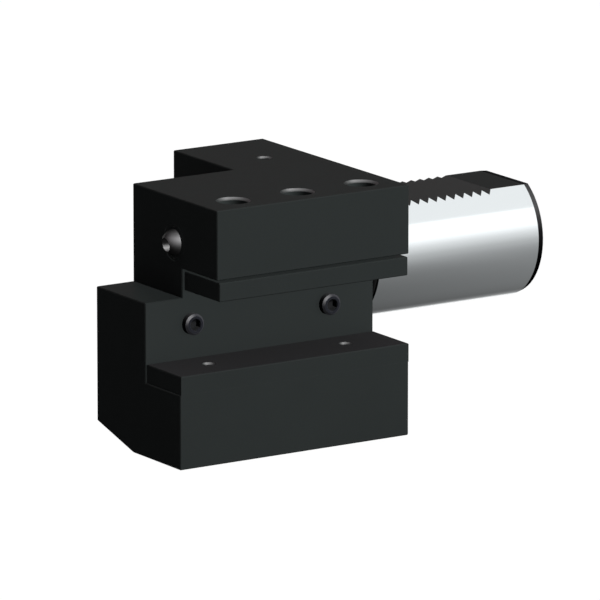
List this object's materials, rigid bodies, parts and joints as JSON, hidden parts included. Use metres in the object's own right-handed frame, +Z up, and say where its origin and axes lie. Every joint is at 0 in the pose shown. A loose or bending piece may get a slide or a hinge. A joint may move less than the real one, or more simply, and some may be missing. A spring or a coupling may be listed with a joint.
{
  "type": "axial turret tool holder",
  "caption": "Axial turret tool holder: round toothed shank, flange and overhanging arm, with a tool slot, screw-down clamping strip, seat plate, side stops and swivel coolant nozzle.",
  "frame": {"origin": "on the shank axis, in the plane of the flange face that meets the turret", "axes": "+X along the shank to its free end, +Z up and square to the toothed flat, -Y out of the tool slot"},
  "size_m": [0.178, 0.1005, 0.095],
  "materials": {
    "black_steel": "black oxide on machined steel; the shank's round surface is ground bright",
    "screw_steel": "black oxide, satin",
    "spring_steel": "oiled spring steel",
    "bright_steel": "polished stainless steel",
    "black_rubber": "matt moulded rubber"
  },
  "bodies": {
    "holder": {"holder_body": "black_steel", "shank_o_ring": "black_rubber", "seat_plate": "black_steel", "seat_plate_screw_1": "screw_steel", "seat_plate_screw_2": "screw_steel", "nozzle_seal": "black_rubber", "coolant_inlet_seal": "black_rubber", "coolant_top_plug": "screw_steel", "coolant_back_plug": "screw_steel"},
    "strip": {"clamping_strip": "black_steel"},
    "clamp_screw_1": {"clamp_screw_1": "screw_steel", "screw_retaining_ring_1": "spring_steel"},
    "clamp_screw_2": {"clamp_screw_2": "screw_steel", "screw_retaining_ring_2": "spring_steel"},
    "clamp_screw_3": {"clamp_screw_3": "screw_steel", "screw_retaining_ring_3": "spring_steel"},
    "side_stop_1": {"side_stop_screw_1": "screw_steel"},
    "side_stop_2": {"side_stop_screw_2": "screw_steel"},
    "nozzle_ring": {"nozzle_ring": "screw_steel"},
    "nozzle_ball": {"nozzle_ball": "bright_steel"}
  },
  "joints": [
    {"name": "strip_slide", "type": "slide", "parent": "holder", "child": "strip", "axis": [0, 0, -1], "range_m": [-0.0009, 0.0014]},
    {"name": "clamp_screw_1_turn", "type": "hinge", "parent": "strip", "child": "clamp_screw_1", "pos_m": [-0.069, -0.0375, 0.016], "axis": [0, 0, -1], "range_deg": [-187.14, 290]},
    {"name": "clamp_screw_2_turn", "type": "hinge", "parent": "strip", "child": "clamp_screw_2", "pos_m": [-0.041, -0.0375, 0.016], "axis": [0, 0, -1], "range_deg": [-187.14, 290]},
    {"name": "clamp_screw_3_turn", "type": "hinge", "parent": "strip", "child": "clamp_screw_3", "pos_m": [-0.013, -0.0375, 0.016], "axis": [0, 0, -1], "range_deg": [-187.14, 290]},
    {"name": "side_stop_1_slide", "type": "slide", "parent": "holder", "child": "side_stop_1", "axis": [0, -1, 0], "range_m": [-0.003, 0.002]},
    {"name": "side_stop_2_slide", "type": "slide", "parent": "holder", "child": "side_stop_2", "axis": [0, -1, 0], "range_m": [-0.003, 0.002]},
    {"name": "nozzle_ring_turn", "type": "hinge", "parent": "holder", "child": "nozzle_ring", "pos_m": [-0.0835, -0.0205, 0.018], "axis": [-1, 0, 0], "range_deg": [-180, 180]},
    {"name": "nozzle_ball_tilt", "type": "hinge", "parent": "nozzle_ring", "child": "nozzle_ball", "pos_m": [-0.0835, -0.0205, 0.018], "axis": [0, 1, 0], "range_deg": [-12, 28]}
  ],
  "couplings": [
    {"joint": "clamp_screw_1_turn", "follows": "strip_slide", "rad_per_m": 3590.4},
    {"joint": "clamp_screw_2_turn", "follows": "strip_slide", "rad_per_m": 3590.4},
    {"joint": "clamp_screw_3_turn", "follows": "strip_slide", "rad_per_m": 3590.4}
  ]
}
